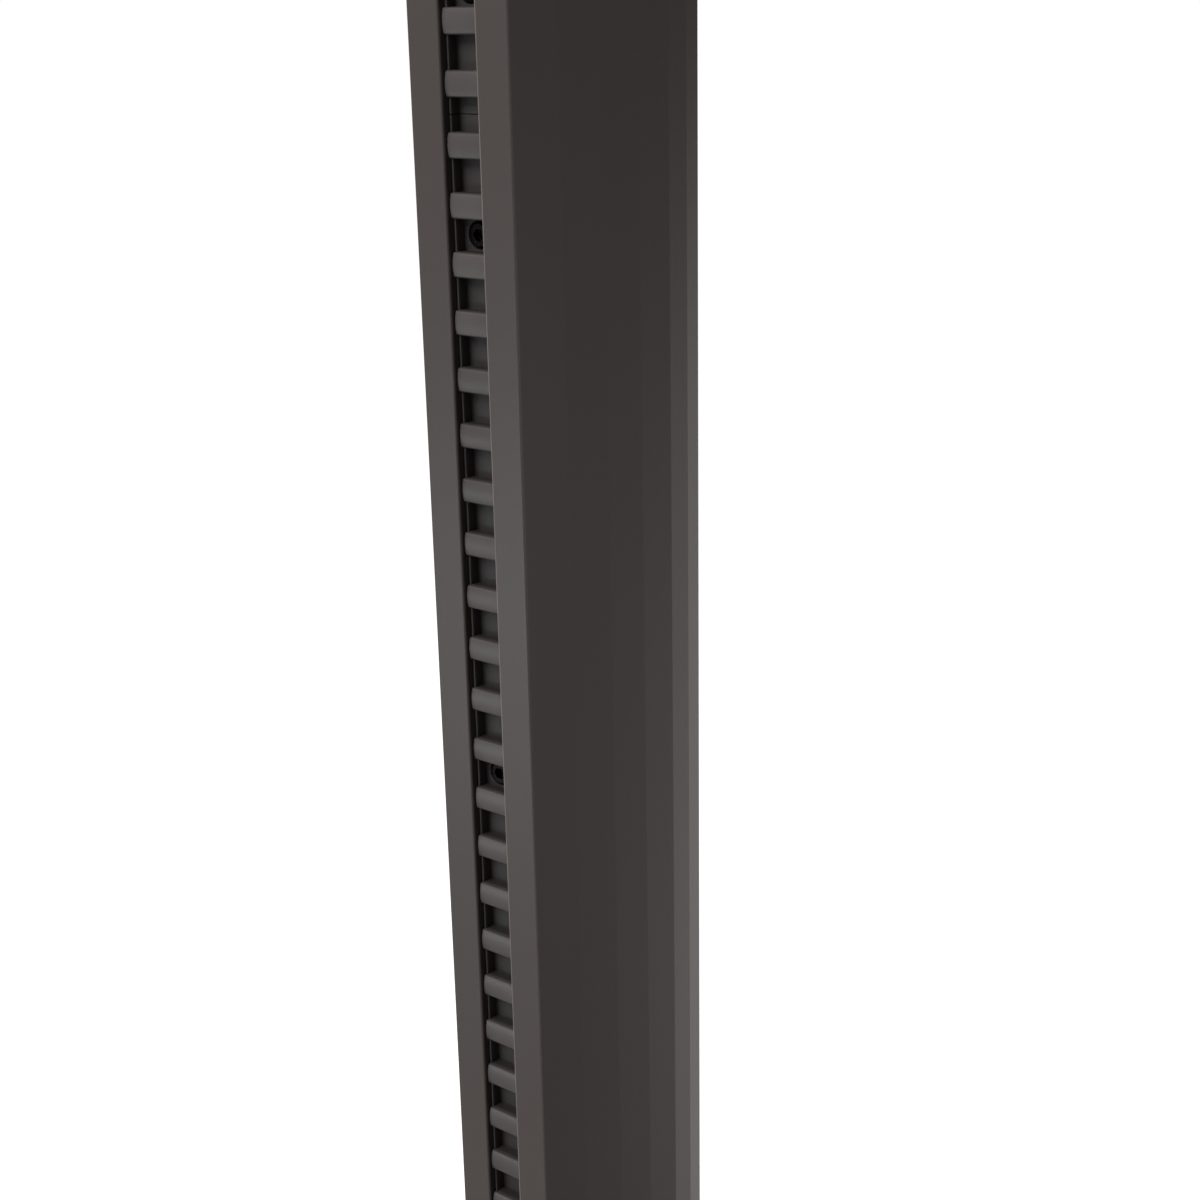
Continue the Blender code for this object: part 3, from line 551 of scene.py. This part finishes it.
# ---- mesh work -------------------------------------------------------------------------------------
class Bench:
    """Mesh operations on one object at a time, as done by hand."""

    @staticmethod
    def only(piece: bpy.types.Object) -> None:
        """Deselect everything, then select one object and make it active."""
        if bpy.context.object is not None and bpy.context.object.mode != "OBJECT":
            bpy.ops.object.mode_set(mode="OBJECT")
        for other in bpy.context.view_layer.objects:
            other.select_set(False)
        piece.select_set(True)
        bpy.context.view_layer.objects.active = piece

    @staticmethod
    def copy_of(node: bpy.types.Object, name: str) -> bpy.types.Object:
        """Copy a CAD node as a new piece with welded points and clean flat faces.

        Args:
            node: The CAD node.
            name: The new piece's name.

        Returns:
            The new object, with its place in its mesh.
        """
        mesh = node.data.copy()
        mesh.transform(node.matrix_world)
        piece = bpy.data.objects.new(name, mesh)
        bpy.context.scene.collection.objects.link(piece)
        piece.data.materials.clear()
        Bench.only(piece)
        bpy.ops.object.mode_set(mode="EDIT")
        bpy.ops.mesh.select_all(action="SELECT")
        bpy.ops.mesh.customdata_custom_splitnormals_clear()
        bpy.ops.mesh.remove_doubles(threshold=WELD)
        bpy.ops.mesh.dissolve_limited(angle_limit=math.radians(FLAT_TURN))
        bpy.ops.object.mode_set(mode="OBJECT")
        return piece

    @staticmethod
    def round_edges(piece: bpy.types.Object, width: float, low: float = 25.0, high: float = 180.0,
                    where: Callable[[Vector, Vector], bool] | None = None) -> None:
        """Round the edges whose faces turn between two angles.

        Args:
            piece: The object.
            width: Width of the rounding.
            low: Smallest turn that is rounded, in degrees.
            high: Largest turn that is rounded, in degrees.
            where: Picks edges by their middle and direction; every edge where left out.
        """
        Bench.only(piece)
        bpy.ops.object.mode_set(mode="EDIT")
        bpy.ops.mesh.select_mode(type="EDGE")
        bpy.ops.mesh.select_all(action="DESELECT")
        mesh = bmesh.from_edit_mesh(piece.data)
        for edge in mesh.edges:
            if len(edge.link_faces) != 2:
                continue
            turn = math.degrees(edge.calc_face_angle(0.0))
            first, second = (vert.co for vert in edge.verts)
            chosen = low <= turn <= high
            if chosen and where is not None:
                chosen = where((first + second) / 2, (second - first).normalized())
            edge.select_set(chosen)
        bmesh.update_edit_mesh(piece.data)
        bpy.ops.mesh.bevel(offset=width, segments=ROUNDING_FACES, profile=ROUND, clamp_overlap=True)
        bpy.ops.mesh.select_all(action="SELECT")
        bpy.ops.mesh.remove_doubles(threshold=WELD)
        bpy.ops.object.mode_set(mode="OBJECT")

    @staticmethod
    def ring(name: str, centre: Vector, radius: float, sides: int) -> bpy.types.Object:
        """Add a level circle of points as a new piece, with its place in its mesh."""
        bpy.ops.mesh.primitive_circle_add(vertices=sides, radius=radius, location=centre)
        piece = bpy.context.object
        piece.name = name
        Bench.only(piece)
        bpy.ops.object.transform_apply(location=True, rotation=True, scale=True)
        return piece

    @staticmethod
    def draw_rings(piece: bpy.types.Object, axis: Vector, floor: float, radius: float,
                   profile: Sequence[tuple[float, float]]) -> None:
        """Draw a circle out ring by ring into a closed turned wall.

        Args:
            piece: The circle, standing at the floor.
            axis: Any point on the upright axis.
            floor: Height of the circle.
            radius: The circle's radius.
            profile: Height above the floor and radius of each next ring; the last one meets the circle.
        """
        Bench.only(piece)
        bpy.ops.object.mode_set(mode="EDIT")
        bpy.ops.mesh.select_all(action="SELECT")
        height = 0.0
        for next_height, next_radius in profile:
            rise = (0.0, 0.0, next_height - height)
            bpy.ops.mesh.extrude_region_move(TRANSFORM_OT_translate={"value": rise})
            share = next_radius / radius
            bpy.ops.transform.resize(value=(share, share, 1.0), center_override=(axis.x, axis.y, floor))
            height, radius = next_height, next_radius
        bpy.ops.mesh.select_all(action="SELECT")
        bpy.ops.mesh.remove_doubles(threshold=WELD)
        bpy.ops.mesh.normals_make_consistent(inside=False)
        bpy.ops.object.mode_set(mode="OBJECT")

    @staticmethod
    def even_out(piece: bpy.types.Object, angle: float) -> None:
        """Subdivide a piece once, rounding all but the edges that turn more than an angle in degrees."""
        Bench.only(piece)
        bpy.ops.object.mode_set(mode="EDIT")
        bpy.ops.mesh.select_mode(type="EDGE")
        bpy.ops.mesh.select_all(action="DESELECT")
        bpy.ops.mesh.edges_select_sharp(sharpness=math.radians(angle))
        bpy.ops.transform.edge_crease(value=1.0)
        bpy.ops.object.mode_set(mode="OBJECT")
        bpy.ops.object.modifier_add(type="SUBSURF")
        surface = piece.modifiers[-1]
        surface.levels = 1
        surface.render_levels = 1
        bpy.ops.object.modifier_apply(modifier=surface.name)

    @staticmethod
    def weigh_normals(piece: bpy.types.Object, angle: float = 50.0) -> None:
        """Shade smooth below an angle in degrees, with the broad faces kept flat."""
        Bench.smooth(piece, angle)
        bpy.ops.object.modifier_add(type="WEIGHTED_NORMAL")
        weighted = piece.modifiers[-1]
        weighted.keep_sharp = True
        weighted.weight = NORMAL_WEIGHT
        bpy.ops.object.modifier_apply(modifier=weighted.name)

    @staticmethod
    def smooth(piece: bpy.types.Object, angle: float) -> None:
        """Shade smooth across edges that turn less than an angle, in degrees."""
        Bench.only(piece)
        bpy.ops.object.shade_smooth_by_angle(angle=math.radians(angle))

    @staticmethod
    def dress(piece: bpy.types.Object, finish: bpy.types.Material) -> None:
        """Give an object one material."""
        piece.data.materials.clear()
        piece.data.materials.append(finish)


@dataclass
class Assembly:
    """What every sub-assembly shares: the frame's nodes, the finishes and a body."""

    nodes: Mapping[str, bpy.types.Object]
    palette: Palette
    body: Body

    def stand_for(self, piece: bpy.types.Object, slot: Slot, *nodes: str) -> None:
        """Let a finished piece ride on the body and stand for CAD nodes."""
        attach(piece, self.body.value)
        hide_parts(*nodes)
        LOG.info("%s stands for %s", piece.name, ", ".join(nodes))

    def refine(self, node: str, finish: bpy.types.Material, slot: Slot, width: float,
               low: float = 25.0) -> None:
        """Replace a CAD node with a copy whose edges are rounded.

        Args:
            node: The CAD node.
            finish: Its material.
            slot: The record's slot that the material belongs to; not used.
            width: Width of the rounding.
            low: Smallest turn that is rounded, in degrees.
        """
        piece = Bench.copy_of(self.nodes[node], node + "_finished")
        Bench.round_edges(piece, width, low)
        self.complete(piece, finish, slot, node)

    def complete(self, piece: bpy.types.Object, finish: bpy.types.Material, slot: Slot, *nodes: str) -> None:
        """Shade and dress a piece, and let it stand for CAD nodes."""
        Bench.weigh_normals(piece)
        Bench.dress(piece, finish)
        self.stand_for(piece, slot, *nodes)


@dataclass
class Post(Assembly):
    """The fixed body: mast, rack, foot, cap and their screws."""

    edge: float = 0.0002
    corner_turn: float = 40.0
    facet_edge: float = 0.0004
    facet_turns: Band = (1.0, 12.0)
    flank_share: float = 0.68
    upright: float = 0.99
    rung_edge: float = 0.00025
    rung_turn: float = 32.0
    cap_edge: float = 0.0006
    foot_edge: float = 0.0012
    screw_edge: float = 0.00025

    def build(self) -> None:
        """Make every fixed piece."""
        self.finish_mast()
        for node in ("rack_segment_upper", "rack_segment_lower"):
            self.refine(node, self.palette.rack, Slot.RACK, self.rung_edge, self.rung_turn)
        self.refine("top_cap", self.palette.plastic, Slot.PLASTIC, self.cap_edge)
        self.refine("deck_plate", self.palette.casting, Slot.COAT, self.foot_edge)
        self.refine("foot_collar", self.palette.casting, Slot.COAT, self.foot_edge)
        for name in [n for n in self.nodes if n.startswith(("rack_screw", "plate_screw"))]:
            self.refine(name, self.palette.screw, Slot.SCREW, self.screw_edge)

    def finish_mast(self) -> None:
        """The extrusion, with its flat flank facets meeting in fine crisp lines."""
        mast = Bench.copy_of(self.nodes["mast_extrusion"], "mast_finished")
        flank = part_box("mast_extrusion")[1].x * self.flank_share

        def facet_line(middle: Vector, direction: Vector) -> bool:
            """Whether an upright edge lies out on a flank."""
            return abs(direction.z) > self.upright and abs(middle.x) > flank

        Bench.round_edges(mast, self.facet_edge, *self.facet_turns, facet_line)
        Bench.round_edges(mast, self.edge, self.corner_turn)
        self.complete(mast, self.palette.extrusion, Slot.COAT, "mast_extrusion")


@dataclass
class Carriage(Assembly):
    """The sliding grip, with its clamp, liners, housing and handle."""

    shell_edge: float = 0.0008
    housing_edge: float = 0.0006
    liner_edge: float = 0.0003
    pin_edge: float = 0.0003
    screw_edge: float = 0.00025
    sleeve_wall: float = 0.0040
    sleeve_sides: int = 48
    sleeve_lip: float = 0.0010
    sleeve_band: float = 0.0070
    sleeve_ribs: int = 12
    rib_depth: float = 0.0009
    rib_overrun: float = 0.15
    rib_shape: tuple[tuple[float, float], ...] = ((0.05, 1.0), (0.25, 1.0), (0.45, 0.1), (0.85, 0.0))
    cut_end_angle: float = 50.0

    def build(self) -> None:
        """Make every piece that slides."""
        self.refine("carriage_front", self.palette.casting, Slot.COAT, self.shell_edge)
        self.refine("carriage_rear", self.palette.casting, Slot.COAT, self.shell_edge)
        self.bend_handle()
        self.refine("latch_housing", self.palette.casting, Slot.COAT, self.housing_edge)
        self.mould_sleeve()
        self.refine("liner_upper", self.palette.plastic, Slot.PLASTIC, self.liner_edge)
        self.refine("liner_lower", self.palette.plastic, Slot.PLASTIC, self.liner_edge)
        self.refine("lever_pivot_pin", self.palette.screw, Slot.SCREW, self.pin_edge)
        for name in [n for n in self.nodes if n.startswith(("clamp_screw", "housing_screw"))]:
            self.refine(name, self.palette.screw, Slot.SCREW, self.screw_edge)


    def bend_handle(self) -> None:
        """The handle bar, with its bends drawn out smoothly between its square-cut ends."""
        bar = Bench.copy_of(self.nodes["handle_bar"], "handle_bar_finished")
        Bench.even_out(bar, self.cut_end_angle)
        self.complete(bar, self.palette.casting, Slot.COAT, "handle_bar")

    def mould_sleeve(self) -> None:
        """The grip: a rubber sleeve with finger ribs, drawn out ring by ring along the handle bar."""
        low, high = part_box("grip_sleeve")
        middle = (low + high) / 2
        outer = (high.x - low.x) / 2
        bore = outer - self.sleeve_wall
        length = high.z - low.z
        foot = Vector((middle.x, middle.y, low.z))
        sleeve = Bench.ring("grip_sleeve_ribbed", foot, bore, self.sleeve_sides)
        pitch = (length - 2 * self.sleeve_band) / self.sleeve_ribs
        overrun = self.rib_overrun * pitch
        profile = [(0.0, outer - self.sleeve_lip), (self.sleeve_lip, outer),
                   (self.sleeve_band - overrun, outer)]
        for rib in range(self.sleeve_ribs):
            base = self.sleeve_band + rib * pitch
            profile += [(base + along * pitch, outer - deep * self.rib_depth)
                        for along, deep in self.rib_shape]
        profile += [(length - self.sleeve_band + overrun, outer), (length - self.sleeve_lip, outer),
                    (length, outer - self.sleeve_lip), (length, bore), (0.0, bore)]
        Bench.draw_rings(sleeve, middle, low.z, bore, profile)
        self.complete(sleeve, self.palette.rubber, Slot.RUBBER, "grip_sleeve")


@dataclass
class Release(Assembly):
    """The squeeze lever."""

    edge: float = 0.0006

    def build(self) -> None:
        """Make the lever."""
        self.refine("release_lever", self.palette.plastic, Slot.PLASTIC, self.edge)


@dataclass
class Latch(Assembly):
    """The latch bolt."""

    edge: float = 0.0003

    def build(self) -> None:
        """Make the bolt."""
        self.refine("latch_bolt", self.palette.latch, Slot.LATCH, self.edge)


# ---- studio ----------------------------------------------------------------------------------------
@dataclass(frozen=True)
class Lamp:
    """One soft rectangular light."""

    name: str
    where: tuple[float, float, float]
    aim: tuple[float, float, float]
    size: tuple[float, float]
    power: float
    tint: Colour = (1.0, 1.0, 1.0)

    def hang(self) -> None:
        """Add the light to the scene."""
        light = bpy.data.lights.new(self.name, "AREA")
        light.shape = "RECTANGLE"
        light.size, light.size_y = self.size
        light.energy = self.power
        light.color = self.tint
        holder = bpy.data.objects.new(self.name, light)
        bpy.context.scene.collection.objects.link(holder)
        holder.location = self.where
        holder.rotation_euler = (Vector(self.aim) - Vector(self.where)).to_track_quat("-Z", "Y").to_euler()


@dataclass(frozen=True)
class Glow:
    """A broad soft patch of light in the surround, or of shade where its strength is below zero."""

    towards: tuple[float, float, float]
    low: float
    high: float
    strength: float
    tint: Colour = (1.0, 1.0, 1.0)


@dataclass
class Studio:
    """Floor, light and camera."""

    mast_front: float
    floor_size: float = 60.0
    floor_tone: Pattern = Pattern(1.5, 3.0)
    floor_greys: tuple[Colour, Colour] = ((0.86, 0.86, 0.86), (0.90, 0.90, 0.90))
    floor_roughness: float = 0.9
    floor_glow: float = 0.80
    camera_side: float = 0.41896
    camera_stand_off: float = 0.47068
    camera_height: float = 0.64677
    azimuth: float = 37.72
    tilt: float = 18.23
    roll: float = -1.13
    lens: float = 54.98
    sensor: float = 36.0
    nearest: float = 0.02
    farthest: float = 80.0
    ambient: Colour = (0.250, 0.224, 0.222)
    lamps: Sequence[Lamp] = field(default_factory=lambda: (
        Lamp("front_softbox", (-0.45, -1.00, 0.10), (0.0, 0.0, 0.26), (0.6, 0.16), 1.7, (0.86, 1.0, 1.03)),
        Lamp("top_softbox", (-0.60, -2.30, 2.40), (0.0, -0.06, 0.35), (1.2, 1.2), 56.0, (1.0, 0.94, 0.91)),
        Lamp("side_softbox", (1.25, 0.25, 0.24), (0.0, 0.0, 0.28), (0.5, 0.4), 1.9, (0.90, 1.0, 1.01)),
    ))
    glows: Sequence[Glow] = field(default_factory=lambda: (
        Glow((-0.72, -0.66, -0.15), 0.05, 0.95, 0.20, (1.0, 0.94, 0.92)),
        Glow((-0.05, 0.90, -0.43), 0.90, 0.985, 1.05, (1.0, 0.98, 0.98)),
        Glow((0.00, 0.95, 0.10), 0.75, 0.95, -0.16, (1.0, 0.95, 0.95)),
        Glow((-0.50, 0.85, 0.10), 0.80, 0.97, -0.06, (1.0, 0.95, 0.95)),
    ))

    def build(self) -> None:
        """Set up the floor, the lights and the camera."""
        bpy.context.scene.view_settings.view_transform = "Standard"
        self.lay_floor()
        self.light_surround()
        for lamp in self.lamps:
            lamp.hang()
        self.place_camera()

    def lay_floor(self) -> None:
        """A plain white floor, which doesn't throw its light back on the post."""
        bpy.ops.mesh.primitive_plane_add(size=self.floor_size, location=(0.0, 0.0, 0.0))
        floor = bpy.context.object
        floor.name = "studio_floor"
        floor.visible_diffuse = False
        floor.visible_glossy = False
        graph = Graph.for_material("floor_paint")
        Bench.dress(floor, graph.principled({
            "Base Color": graph.mix(graph.noise(self.floor_tone), *self.floor_greys),
            "Roughness": self.floor_roughness,
            "Emission Color": WHITE,
            "Emission Strength": self.floor_glow,
        }))

    def light_surround(self) -> None:
        """White behind the post, and for the light on it a dim surround with broad glows."""
        world = bpy.data.worlds.new("studio_surround")
        bpy.context.scene.world = world
        graph = Graph(world, "ShaderNodeOutputWorld")
        where = graph.node("ShaderNodeTexCoord", output="Generated")
        colour: Any = (*self.ambient, 1.0)
        adding = {"data_type": "RGBA", "blend_type": "ADD"}
        for glow in self.glows:
            facing = graph.node("ShaderNodeVectorMath", {"operation": "DOT_PRODUCT"},
                                {0: where, 1: Vector(glow.towards).normalized()}, output="Value")
            amount = facing.step(glow.low, glow.high) * glow.strength
            colour = graph.node("ShaderNodeMix", {**adding, "clamp_factor": False},
                                {0: amount, 6: colour, 7: (*glow.tint, 1.0)}, output=2)
        lit = graph.node("ShaderNodeBackground", sockets={"Color": colour, "Strength": 1.0})
        seen = graph.node("ShaderNodeBackground", sockets={"Color": WHITE, "Strength": 1.0})
        straight = graph.node("ShaderNodeLightPath", output="Is Camera Ray")
        graph.close(graph.node("ShaderNodeMixShader", sockets={0: straight, 1: lit, 2: seen}))

    def place_camera(self) -> None:
        """Stand the camera in front of the post, to its right, looking down a little."""
        data = bpy.data.cameras.new("view")
        data.lens = self.lens
        data.sensor_width = self.sensor
        data.clip_start = self.nearest
        data.clip_end = self.farthest
        camera = bpy.data.objects.new("view", data)
        bpy.context.scene.collection.objects.link(camera)
        camera.location = (self.camera_side, self.mast_front - self.camera_stand_off, self.camera_height)
        turn = Matrix.Rotation(math.radians(self.azimuth), 3, "Z")
        turn = turn @ Matrix.Rotation(math.radians(90.0 - self.tilt), 3, "X")
        turn = turn @ Matrix.Rotation(math.radians(self.roll), 3, "Z")
        camera.rotation_euler = turn.to_euler()
        bpy.context.scene.camera = camera


def main() -> None:
    """Build the looks around the frame."""
    logging.basicConfig(level=logging.INFO, format="%(name)s: %(message)s")
    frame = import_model()
    nodes = frame["nodes"]
    mast_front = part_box("mast_extrusion")[0].y
    palette = Palette(mast_front)
    Post(nodes, palette, Body.POST).build()
    Carriage(nodes, palette, Body.CARRIAGE).build()
    Release(nodes, palette, Body.LEVER).build()
    Latch(nodes, palette, Body.LATCH).build()
    Studio(mast_front).build()


if __name__ == "__main__":
    main()
